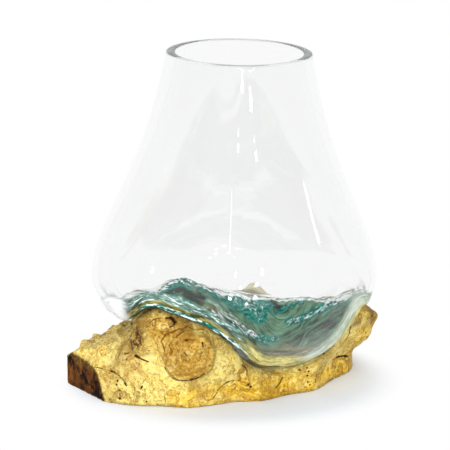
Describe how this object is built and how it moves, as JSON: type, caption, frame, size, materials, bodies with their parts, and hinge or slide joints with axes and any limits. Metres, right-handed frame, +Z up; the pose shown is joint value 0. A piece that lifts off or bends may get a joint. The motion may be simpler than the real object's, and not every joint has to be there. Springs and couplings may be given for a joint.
{
  "type": "glass bowl on root",
  "caption": "Clear blown bowl with a tapered neck and a flat cut mouth, slumped hot over a sawn root burl and resting on it as its stand",
  "frame": {"origin": "on the root's sawn underside, below the middle of the bowl's belly", "axes": "+Z up out of the mouth, -Y the front with the round burl, +X towards the raised arm of the root, -X towards its sawn end"},
  "size_m": [0.2615, 0.241, 0.2772],
  "materials": {
    "clear_glass": "clear blown glass, faint green in thick places",
    "burl_wood": "sanded golden burl, charred dark under the bowl"
  },
  "bodies": {
    "root": {"root_base": "burl_wood"},
    "bowl": {"glass_bowl": "clear_glass"}
  },
  "joints": [
    {"name": "bowl_lift", "type": "slide", "parent": "root", "child": "bowl", "axis": [0, 0, 1], "range_m": [0, 0.09]}
  ]
}
